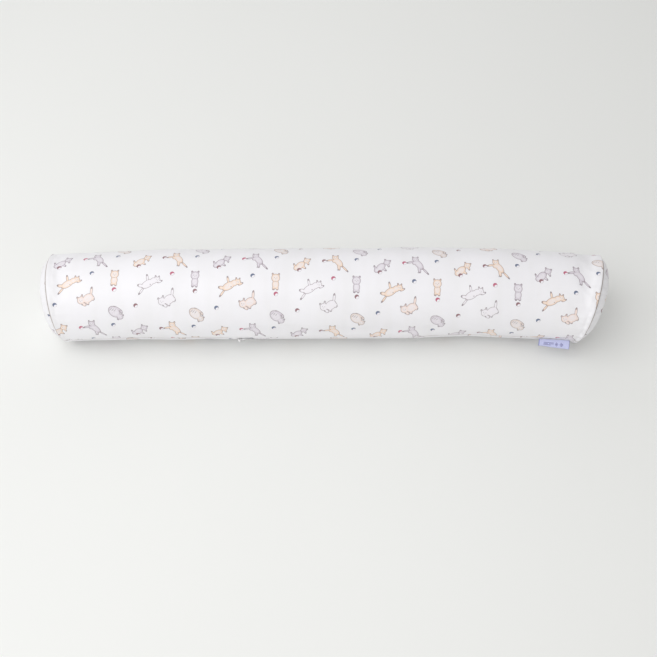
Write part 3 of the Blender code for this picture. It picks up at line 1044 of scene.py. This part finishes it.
ROLLING_DARK = (
    (-11.4, 0.0, 0.9, 1.3, 42), (-5.1, 3.0, 0.8, 1.2, -6), (-4.6, -8.6, 1.2, 0.9, 0),
    (3.6, -8.2, 1.2, 0.9, 0), (12.0, -1.6, 0.9, 1.2, 0), (7.3, 12.4, 1.1, 1.3, 0),
    (-8.2, -2.8, 0.5, 0.55, 0), (-4.9, -3.0, 0.5, 0.55, 0), (-6.8, -4.7, 0.55, 0.4, 0),
)
CURLED = (
    (-1.6, 1.6, 9.0, 6.4, -38), (6.0, -5.0, 4.5, 3.9, -20), (3.2, -8.4, 1.3, 1.7, 24),
    (9.9, -3.2, 1.7, 1.3, 20), (3.4, 5.8, 6.2, 1.5, -30), (8.2, 1.8, 1.5, 2.3, 20),
)
CURLED_DARK = (
    (9.2, -0.2, 1.1, 1.1, 0), (3.0, -8.9, 0.8, 1.0, 24), (10.4, -3.0, 1.1, 0.8, 20),
    (5.2, -5.6, 0.5, 0.45, 0), (7.9, -5.0, 0.5, 0.45, 0), (-6.4, 5.2, 0.5, 2.6, -48),
    (-3.6, 4.6, 0.5, 2.4, -44), (-0.8, 3.6, 0.5, 2.0, -40),
)
TUMBLING = (
    (-3.0, -2.6, 7.6, 4.9, 44), (-7.8, -6.8, 4.3, 3.6, 20), (5.8, 5.2, 4.7, 4.0, 26),
    (3.4, 9.3, 1.3, 1.9, 20), (9.8, 7.8, 1.3, 1.9, -52), (2.2, -5.4, 3.4, 1.6, -36),
    (-10.8, -3.2, 1.3, 3.4, 26), (7.8, 0.6, 1.5, 2.6, 20),
)
TUMBLING_DARK = (
    (3.2, 9.9, 0.8, 1.2, 20), (10.2, 8.1, 0.8, 1.2, -52), (-12.0, -0.8, 1.1, 1.2, 0),
    (4.6, -7.2, 1.0, 0.9, 0), (8.6, -1.3, 0.9, 0.9, 0), (4.6, 6.0, 0.5, 0.5, 0),
    (7.4, 4.6, 0.5, 0.5, 0), (5.4, 4.3, 0.4, 0.35, 0),
)
LEAPING = (
    (2.0, 0.6, 9.0, 4.5, -52), (-2.4, 8.6, 4.5, 3.8, -8), (-5.6, 12.0, 1.2, 1.9, 22),
    (0.8, 12.2, 1.2, 1.9, -16), (-9.0, 3.6, 5.6, 1.5, 14), (-3.2, 2.6, 3.6, 3.0, 20),
    (3.0, -7.6, 2.0, 4.6, 12), (11.4, -9.4, 6.0, 1.25, -44),
)
LEAPING_DARK = (
    (-14.0, 2.2, 1.4, 1.2, 14), (15.4, -13.2, 1.1, 1.3, 40), (2.0, -11.6, 1.5, 1.0, 0),
    (-5.8, 12.8, 0.7, 1.1, 22), (1.0, 13.0, 0.7, 1.1, -16), (-4.0, 9.0, 0.5, 0.5, 0),
    (-0.9, 8.7, 0.5, 0.5, 0), (-2.4, 7.2, 0.5, 0.35, 0),
)
SITTING = (
    (0.0, 4.6, 5.8, 5.4, 0), (-4.2, 9.4, 1.3, 1.8, 24), (4.2, 9.4, 1.3, 1.8, -24),
    (0.3, -3.6, 4.6, 5.6, 0), (-2.4, -8.6, 1.8, 2.2, 0), (2.8, -8.6, 1.8, 2.2, 0),
)
SITTING_DARK = (
    (-4.4, 9.9, 0.8, 1.1, 24), (4.4, 9.9, 0.8, 1.1, -24), (-2.6, -9.8, 1.5, 1.1, 0),
    (2.9, -10.0, 1.1, 0.7, 0), (-1.9, 5.0, 0.5, 0.6, 0), (1.9, 5.0, 0.5, 0.6, 0),
    (0.0, 3.4, 0.6, 0.4, 0), (0.0, 0.2, 2.2, 0.35, 0),
)

# Each motif: where it stands in the repeat, its ovals and dark marks, its colours on the even and the
# odd repeats, and whether the repeats count as even and odd row by row too, as on a checkerboard
KITTENS = (
    ((28.5, 15.0), STRETCHING, STRETCHING_DARK, "peach", "white", True),
    ((58.5, -9.5), ROLLING, ROLLING_DARK, "cream", "white", True),
    ((106.0, -35.0), CURLED, CURLED_DARK, "silver", "oatmeal", True),
    ((14.0, 59.0), TUMBLING, TUMBLING_DARK, "silver", "peach", True),
    ((69.5, 63.5), LEAPING, LEAPING_DARK, "silver", "peach", False),
    ((102.0, 24.5), SITTING, SITTING_DARK, "peach", "silver", True),
)
BALLS = (
    ((9.0, -21.5), "slate", "plum"),
    ((65.0, 33.0), "slate", "rose"),
    ((101.5, 72.0), "slate", "slate"),
    ((103.5, 4.5), "rose", "plum"),
    ((49.0, 66.0), "rose", "plum"),
    ((9.5, 46.5), "plum", "plum"),
)
BALL = 3.6


class Print(Finish):
    """A finish that carries the kittens' print."""

    def repeat(self, flat, middle, drawn=(1.0, 1.0), checked=False):
        """The place about a motif's middle within its repeat, and 1 on the odd repeats, 0 on the even."""
        wide, tall = REPEAT / drawn[0], REPEAT / drawn[1]
        centre = (0.5 - middle[0] / REPEAT, 0.5 - middle[1] / REPEAT, 0.0)
        share = flat.solve("MULTIPLY_ADD", flat, (1.0 / REPEAT,) * 3, centre)
        inside = share.solve("FRACTION", share)
        corner = (-0.5 * wide, -0.5 * tall, 1.0)
        place = inside.solve("MULTIPLY_ADD", inside, (wide, tall, 0.0), corner)
        whole = share.solve("FLOOR", share)
        count = whole.part("X") + whole.part("Y") if checked else whole.part("X")
        return place, count.solve("PINGPONG", count, 1.0)

    def oval(self, place, x, y, length, width, turn):
        """About how far a place is outside an oval, in millimetres, negative inside it.

        A place's third number is 1, so one product with it gives the share of the oval's length that
        the place lies along it, and another one the share of its width. Their length, less 1, is
        scaled by the shorter of the two.
        """
        cosine, sine = math.cos(math.radians(turn)), math.sin(math.radians(turn))
        along = (cosine / length, sine / length, -(x * cosine + y * sine) / length)
        aside = (-sine / width, cosine / width, (x * sine - y * cosine) / width)
        first, second = (
            self.node("VectorMath", {"operation": "DOT_PRODUCT"}, {0: place, 1: line}, "Value")
            for line in (along, aside)
        )
        square = first.solve("MULTIPLY_ADD", first, first, second * second)
        reach = square.solve("SQRT", square)
        least = min(length, width)
        return reach.solve("MULTIPLY_ADD", reach, least, -least)

    def blot(self, place, ovals, soft):
        """The distance outside a shape made of ovals that flow into each other over soft."""
        total = self.oval(place, *ovals[0])
        for values in ovals[1:]:
            total = total.least(self.oval(place, *values), soft)
        return total

    def design(self, ground):
        """The printed colour over a ground colour."""
        hues = {name: self.hue(name) for name in PRINT_HUES}
        turned = (0.0, 0.0, math.radians(PRINT_SLOPE))
        inputs = {"Vector": self.cloth(), "Location": (PRINT_LEFT, 0.0, 0.0), "Rotation": turned}
        inputs["Scale"] = (1.0, PRINT_STRETCH, 1.0)
        flat = self.node("Mapping", {"vector_type": "TEXTURE"}, inputs)
        wash = 0.25 + 0.50 * self.noise(flat, 0.42, 3.0, 0.6).below(0.56, 0.30)
        colour = ground
        for middle, ovals, marks, even, odd_hue, checked in KITTENS:
            place, odd = self.repeat(flat, middle, DRAWN, checked)
            outside = self.blot(place, ovals, 0.7)
            dark = self.blot(place, marks, 0.15)
            tint = self.mix(odd, hues[even], hues[odd_hue])
            fur = self.mix(outside.below(-1.5, 2.0) * wash, tint, hues["white"])
            colour = self.mix(outside.below(0.0, 0.3), colour, fur)
            line = abs(outside + 0.1).below(0.5 * OUTLINE, 0.34) * OUTLINE_INK
            colour = self.mix(line, colour, hues["ink"])
            colour = self.mix(dark.below(0.0, 0.5) * MARK_INK, colour, hues["dark"])
        for middle, even, odd_hue in BALLS:
            place, odd = self.repeat(flat, middle)
            outside = self.oval(place, 0.0, 0.0, BALL, BALL, 0.0)
            lit = self.oval(place, 1.5, -1.9, 3.0, 2.6, 30.0)
            tint = self.mix(odd, hues[even], hues[odd_hue])
            body = self.mix(lit.below(0.0, 0.5), tint, hues["white"])
            colour = self.mix(outside.below(0.0, 0.3), colour, body)
            line = abs(outside + 0.1).below(0.16, 0.26) * BALL_INK
            colour = self.mix(line, colour, hues["ink"])
        return colour


# The finishes, by the record's slots


def satin_finish():
    """White satin with the print on it: a soft gloss, a faint lengthwise rib, slight creases, painted shade
    in its seams and painted sheen streaks.
    """
    made = Print("cover_satin")
    flat = made.cloth()
    # Slow lighter and darker bands: in the colour they are painted sheen streaks, and they also vary the
    # roughness
    sheen_streaks = made.noise(flat * (1.0, 0.2, 1.0), 0.04, 2.0)
    ground = made.mix(sheen_streaks.below(0.55, 0.4), made.hue("satin_shade"), made.hue("satin"))
    streak = made.noise(flat * (0.05, 2.2, 1.0), 1.0, 3.0, 0.6)
    # Slight creases, as a bump only
    creases_and_painted_seam_shade = made.noise(flat * (0.6, 1.0, 1.0), 0.045, 3.0, 0.55)
    rib = made.bump(streak, 0.00002, 0.5)
    tilt = made.node("Bump", {}, {"Height": creases_and_painted_seam_shade, "Distance": 0.0009, "Strength": 0.5, "Normal": rib})
    rough = 0.36 + 0.08 * streak + 0.05 * sheen_streaks
    # Painted shade in the seams: the print darkened towards the seam shade colour by the cloth's third
    # number
    painted_seam_shade_share = flat.part("Z") * (0.45 + 0.45 * streak)
    printed = made.mix(painted_seam_shade_share, made.design(ground), made.hue("creases_and_painted_seam_shade"))
    made.set(Sheen_Weight=0.12, Sheen_Roughness=0.4)
    return made.set(Base_Color=printed, Roughness=rough, Normal=tilt)


def cotton_finish():
    """A plain weave: two crossed waves of 0.9 mm, whose product is the cloth's height."""
    made = Finish("liner_cotton")
    place = made.fine_place()
    across, along = ((place.part(name) * (2 * math.pi / 0.9)).sine() for name in ("X", "Z"))
    height = 0.5 + 0.5 * across * along
    fleck = made.noise(place, 0.35, 4.0, 0.6)
    shade = made.mix(fleck.below(0.5, 0.5), made.hue("cotton"), srgb(226, 223, 215))
    tilt = made.bump(height + fleck, 0.00010, 0.6)
    return made.set(Base_Color=shade, Roughness=0.80 + 0.1 * fleck, Normal=tilt)


def fibre_finish():
    """Carded fibre: long soft clumps with fine strands over them."""
    made = Finish("fibre_fill")
    place = made.fine_place()
    clump = made.noise(place, 0.05, 4.0, 0.6)
    strand = made.noise(place * (0.3, 1.0, 1.0), 1.4, 5.0, 0.7)
    shade = made.mix(clump.below(0.5, 0.4), made.hue("fibre"), srgb(214, 214, 216))
    tilt = made.bump(strand + clump, 0.0012, 0.7)
    return made.set(Base_Color=shade, Roughness=0.9 + 0.08 * strand, Normal=tilt)


def thread_finish():
    """Spun sewing thread: a fine twist and slightly uneven dye."""
    made = Finish("seam_thread")
    place = made.fine_place()
    twist = made.noise(place, 3.5, 2.0)
    shade = made.mix(twist.below(0.5, 0.4), made.hue("thread"), srgb(128, 112, 104))
    tilt = made.bump(twist, 0.00006, 0.6)
    return made.set(Base_Color=shade, Roughness=0.62 + 0.15 * twist, Normal=tilt)


def tape_finish():
    """Zip tape: a herringbone of slanting ribs that turn back every 2 mm."""
    made = Finish("zip_tape")
    flat = made.cloth()
    zigzag = made.node("Math", {"operation": "PINGPONG"}, {0: flat.part("Y"), 1: 1.0})
    rib = ((flat.part("X") + zigzag) * 9.0).sine()
    fuzz = made.noise(flat, 1.1, 3.0)
    shade = made.mix(rib.below(-0.2, 1.4), made.hue("tape"), srgb(206, 203, 200))
    tilt = made.bump(rib * 0.5 + fuzz, 0.00008, 0.7)
    return made.set(Base_Color=shade, Roughness=0.72 + 0.1 * fuzz, Normal=tilt)


def nylon_finish():
    """Moulded nylon: a milky gloss with faint draw lines."""
    made = Finish("zip_coil")
    cloud = made.noise(made.place(), 900.0, 2.0)
    shade = made.mix(cloud.below(0.5, 0.5), made.hue("nylon"), srgb(216, 213, 208))
    tilt = made.bump(cloud, 0.00002, 0.4)
    return made.set(Base_Color=shade, Roughness=0.30 + 0.12 * cloud, Normal=tilt)


def metal_finish():
    """Nickel-plated zinc, tumbled smooth: fine rougher scuffs, and a little darker in places."""
    made = Finish("zip_metal")
    place = made.place()
    scuff = made.noise(place * (1.0, 3.0, 3.0), 700.0, 4.0, 0.65)
    cloud = made.noise(place, 160.0, 2.0)
    shade = made.mix(cloud.below(0.5, 0.4) * 0.5, made.hue("metal"), srgb(176, 174, 172))
    tilt = made.bump(scuff, 0.00002, 0.35)
    return made.set(Base_Color=shade, Metallic=1.0, Roughness=0.22 + 0.20 * scuff, Normal=tilt)


# The label's marks: place along the ribbon's width, distance from its fold, half length and half height,
# all in millimetres, and where its selvedge begins
LABEL_BARS = (
    (-12.0, 4.0, 5.5, 0.40), (-14.0, 5.9, 3.5, 0.36), (-4.5, 5.9, 3.8, 0.36), (-5.6, 4.0, 0.6, 0.40),
    (-9.0, 7.8, 8.3, 0.36),
)
LABEL_LOZENGES = (
    (4.0, 5.8, 2.6, 2.9), (12.0, 5.8, 2.6, 2.9), (4.0, 5.8, 1.0, 1.1), (12.0, 5.8, 1.0, 1.1),
)
LABEL_SELVEDGE = 24.3


def ribbon_finish():
    """Woven label ribbon, lilac, with plain woven bars and lozenges in indigo and a darker selvedge."""
    made = Finish("label_ribbon")
    flat = made.cloth()
    x, y = flat.part("X"), flat.part("Y")
    fold = abs(y)
    marks = None
    for middle, away, half_long, half_wide in LABEL_BARS:
        bar = (abs(x - middle) - half_long).most(abs(fold - away) - half_wide)
        marks = bar if marks is None else marks.least(bar)
    for middle, away, half_long, half_wide in LABEL_LOZENGES:
        lozenge = (abs(x - middle) * (half_wide / half_long) + abs(fold - away) - half_wide) * 0.7
        marks = marks.least(abs(lozenge) - 0.28)
    rib = (x * 14.0).sine()
    fleck = made.noise(flat * (1.0, 0.3, 1.0), 1.6, 3.0, 0.6)
    ground = made.mix(fleck.below(0.5, 0.5), made.hue("ribbon"), srgb(196, 200, 240))
    shade = made.mix(marks.below(0.0, 0.25), ground, made.hue("indigo"))
    edge = abs(x).below(LABEL_SELVEDGE, 0.5)
    shade = made.mix(edge, srgb(150, 156, 216), shade)
    tilt = made.bump(rib * 0.5 + fleck, 0.00006, 0.6)
    return made.set(Base_Color=shade, Roughness=0.40 + 0.12 * fleck, Normal=tilt)


def floor_finish():
    """A plain pale studio floor, with the faintest mottling."""
    made = Finish("studio_floor")
    mottle = made.noise(made.place(), 1.3, 3.0)
    shade = made.mix(mottle.below(0.5, 0.6) * 0.3, made.hue("floor"), srgb(236, 237, 235))
    return made.set(Base_Color=shade, Roughness=0.85, Specular_IOR_Level=0.2)


@functools.lru_cache(maxsize=None)
def finish(slot):
    """The material of a slot, made the first time that a piece asks for it."""
    makers = {
        "cover_satin": satin_finish,
        "liner_cotton": cotton_finish,
        "fibre_fill": fibre_finish,
        "seam_thread": thread_finish,
        "zip_tape": tape_finish,
        "zip_coil": nylon_finish,
        "zip_metal": metal_finish,
        "label_ribbon": ribbon_finish,
        "studio_floor": floor_finish,
    }
    return makers[slot]()


def fitted(obj, slot, body, *nodes):
    """Gives a finished piece the material of its slot and, where one is named, its body, and hides the
    frame's nodes that it stands for.
    """
    obj.data.materials.clear()
    obj.data.materials.append(finish(slot))
    if body:
        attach(obj, body)
    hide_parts(*nodes)
    return obj


# What a user can change


def length(name, words, default):
    return FloatProperty(name=name, description=words, default=default, min=0.0, unit="LENGTH")


def colour(name, words, *steps):
    return FloatVectorProperty(
        name=name, description=words, subtype="COLOR", size=4, min=0.0, max=1.0, default=srgb(*steps)
    )


class BolsterSizes(bpy.types.PropertyGroup):
    """Sizes of the made pieces, in metres."""

    stitch: length("Stitch", "Length of one stitch of the seams", 0.0026)
    thread: length("Thread", "Radius of the sewing thread", 0.00028)
    sewn_dip: length("Seam dip", "How deep the cloth dips at the sewn long seam", 0.0015)
    coil_pitch: length("Coil pitch", "Distance between the zip's turns", 0.00125)
    label_thick: length("Ribbon", "Thickness of the label's ribbon", 0.00032)


class BolsterColours(bpy.types.PropertyGroup):
    """Colours of the finishes."""

    satin: colour("Satin", "The cover's ground colour", 246, 245, 249)
    # Painted sheen streaks: the ground turns to this trace darker colour between the lighter bands
    satin_shade: colour("Satin, second shade", "Where the ground is a trace darker", 243, 242, 245)
    # Painted shade: the darker colour that the cloth is given in the seams' creases
    creases_and_painted_seam_shade: colour("Crease", "The cloth's shade in its seams", 150, 138, 130)
    peach: colour("Peach", "Ginger kittens", 247, 222, 201)
    cream: colour("Cream", "Pale pink kittens", 245, 226, 217)
    silver: colour("Silver", "Grey kittens", 219, 212, 221)
    white: colour("White", "White kittens", 244, 241, 246)
    oatmeal: colour("Oatmeal", "Grey kittens with ginger", 234, 221, 214)
    ink: colour("Ink", "The kittens' outlines", 128, 108, 116)
    dark: colour("Dark marks", "Paws, ears and eyes", 112, 98, 106)
    rose: colour("Rose", "Pink balls", 196, 104, 130)
    slate: colour("Slate", "Blue-grey balls", 104, 118, 146)
    plum: colour("Plum", "Brown-pink balls", 150, 112, 118)
    cotton: colour("Cotton", "The insert's bag", 240, 238, 232)
    fibre: colour("Fibre", "The filling", 238, 238, 240)
    thread: colour("Thread", "Sewing thread", 176, 158, 146)
    tape: colour("Tape", "The zip's tape", 228, 225, 222)
    nylon: colour("Nylon", "The zip's coils", 232, 230, 226)
    metal: colour("Metal", "Slider, tab and stops", 214, 213, 214)
    ribbon: colour("Ribbon", "The label", 212, 216, 248)
    indigo: colour("Indigo", "The label's woven marks", 70, 64, 140)
    floor: colour("Floor", "The studio floor", 242, 243, 241)


PRINT_HUES = ("peach", "cream", "silver", "white", "oatmeal", "ink", "dark", "rose", "slate", "plum")


# Operators


class MakeCover(bpy.types.Operator):
    """Make the printed satin cover: its barrel and its two domed ends"""

    bl_idname = "bolster.make_cover"
    bl_label = "Cover"

    def execute(self, context):
        fitted(make_barrel(), "cover_satin", "pillow", "cover_barrel")
        for side, word in SIDES:
            panel = fitted(make_panel(side, word), "cover_satin", "pillow", "cover_end_" + word)
        return {"FINISHED"}


class MakeInsert(bpy.types.Operator):
    """Make the insert: its cotton bag and the fibre inside"""

    bl_idname = "bolster.make_insert"
    bl_label = "Insert"

    def execute(self, context):
        for obj, node in zip(make_bag(), ("liner_barrel", "liner_end_left", "liner_end_right")):
            fitted(obj, "liner_cotton", "pillow", node)
        fitted(make_filling(), "fibre_fill", "pillow", "filling_core")
        return {"FINISHED"}


class MakeStitches(bpy.types.Operator):
    """Make the seams' threads: round both ends and along the long seam beside the zip"""

    bl_idname = "bolster.make_stitches"
    bl_label = "Stitches"

    def execute(self, context):
        for side, word in SIDES:
            fitted(make_end_stitches(side, word), "seam_thread", "pillow", "end_seam_thread_" + word)
            fitted(make_long_stitches(side, word), "seam_thread", "pillow", "long_seam_thread_" + word)
        return {"FINISHED"}


class MakeZip(bpy.types.Operator):
    """Make the concealed zip: tapes, coils, stops, slider and pull tab"""

    bl_idname = "bolster.make_zip"
    bl_label = "Zip"

    def execute(self, context):
        for word, sign in (("lower", 1), ("upper", -1)):
            fitted(make_tape(word, sign), "zip_tape", "pillow", "zip_tape_" + word)
            fitted(make_coil(word, -sign), "zip_coil", "pillow", "zip_coil_" + word)
        for word, sign in (("closed", -1), ("open", 1)):
            fitted(make_stop(word, sign), "zip_metal", "pillow", "zip_stop_" + word)
        fitted(make_slider(), "zip_metal", "slider", "zip_slider")
        fitted(make_pull(), "zip_metal", "pull", "zip_pull_tab")
        return {"FINISHED"}


class MakeLabel(bpy.types.Operator):
    """Make the folded ribbon label in the long seam"""

    bl_idname = "bolster.make_label"
    bl_label = "Label"

    def execute(self, context):
        obj, flat, root, out = make_label()
        fitted(obj, "label_ribbon", None, "woven_label")
        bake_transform(obj)
        return {"FINISHED"}


FLOOR_HALF = 6.0
AIR_TINT = (1.0, 0.995, 0.985, 1.0)
AIR_STRENGTH = 0.475
LIGHTS_AIM = (0.0, 0.0, 0.1)
# Each light's name, place, width and height, power and tint
LIGHTS = (
    ("key_light", (-1.1, -0.7, 2.2), (3.2, 2.4), 41.0, (1.0, 0.998, 1.0)),
    ("fill_light", (0.2, -2.6, 0.9), (3.0, 1.4), 6.5, (1.0, 0.98, 0.94)),
    ("back_light", (-0.5, 2.2, 1.7), (2.8, 1.6), 8.5, (1.0, 1.0, 1.0)),
)
CAMERA_RISE = 52.0
CAMERA_AWAY = 1.80
CAMERA_LENS = 59.0
# How far from the pillow's middle the camera's middle line passes
CAMERA_AIM = (0.0080, -0.0485, -0.0345)


def aimed(obj, place, target):
    """The object put in its place and turned to look at the target."""
    obj.location = place
    obj.rotation_euler = (Vector(target) - Vector(place)).to_track_quat("-Z", "Y").to_euler()
    bpy.context.scene.collection.objects.link(obj)
    return obj


def area_light(name, place, size, power, tint):
    """A soft oblong light."""
    light = bpy.data.lights.new(name, "AREA")
    light.shape = "RECTANGLE"
    light.size, light.size_y = size
    light.energy = power
    light.color = tint
    aimed(bpy.data.objects.new(name, light), place, LIGHTS_AIM)


class MakeStage(bpy.types.Operator):
    """Make the pale floor, the soft lights and the camera"""

    bl_idname = "bolster.make_stage"
    bl_label = "Stage"

    def execute(self, context):
        corners = FLOOR_HALF * np.array([[-1, -1, 0], [1, -1, 0], [1, 1, 0], [-1, 1, 0]])
        floor = piece("studio_floor", corners, [np.array([[0, 1, 2, 3]])])
        floor.data.materials.append(finish("studio_floor"))
        for values in LIGHTS:
            area_light(*values)
        world = bpy.data.worlds.new("studio_air")
        world.use_nodes = True
        background = world.node_tree.nodes["Background"]
        background.inputs["Color"].default_value = AIR_TINT
        background.inputs["Strength"].default_value = AIR_STRENGTH
        context.scene.world = world
        context.scene.view_settings.view_transform = "Standard"
        rise = math.radians(CAMERA_RISE)
        centre = Vector((0.0, 0.0, RADIUS - SAG))
        place = centre + CAMERA_AWAY * Vector((0.0, -math.cos(rise), math.sin(rise)))
        camera = bpy.data.objects.new("camera", bpy.data.cameras.new("camera"))
        camera.data.lens = CAMERA_LENS
        context.scene.camera = aimed(camera, place, centre + Vector(CAMERA_AIM))
        return {"FINISHED"}


class BolsterPanel(bpy.types.Panel):
    """The bolster's pieces and its settings."""

    bl_idname = "BOLSTER_PT_pieces"
    bl_label = "Bolster"
    bl_space_type = "VIEW_3D"
    bl_region_type = "UI"
    bl_category = "Bolster"

    def draw(self, context):
        for maker in MAKERS:
            self.layout.operator(maker.bl_idname)
        for group in (context.scene.bolster_sizes, context.scene.bolster_colours):
            for name in group.__annotations__:
                self.layout.prop(group, name)


MAKERS = (MakeStage, MakeCover, MakeInsert, MakeStitches, MakeZip, MakeLabel)
CLASSES = (BolsterSizes, BolsterColours, *MAKERS, BolsterPanel)


def register():
    for made in CLASSES:
        bpy.utils.register_class(made)
    bpy.types.Scene.bolster_sizes = PointerProperty(type=BolsterSizes)
    bpy.types.Scene.bolster_colours = PointerProperty(type=BolsterColours)


def unregister():
    del bpy.types.Scene.bolster_colours
    del bpy.types.Scene.bolster_sizes
    for made in reversed(CLASSES):
        bpy.utils.unregister_class(made)


def main():
    register()
    for maker in MAKERS:
        group, action = maker.bl_idname.split(".")
        getattr(getattr(bpy.ops, group), action)()


if __name__ == "__main__":
    main()
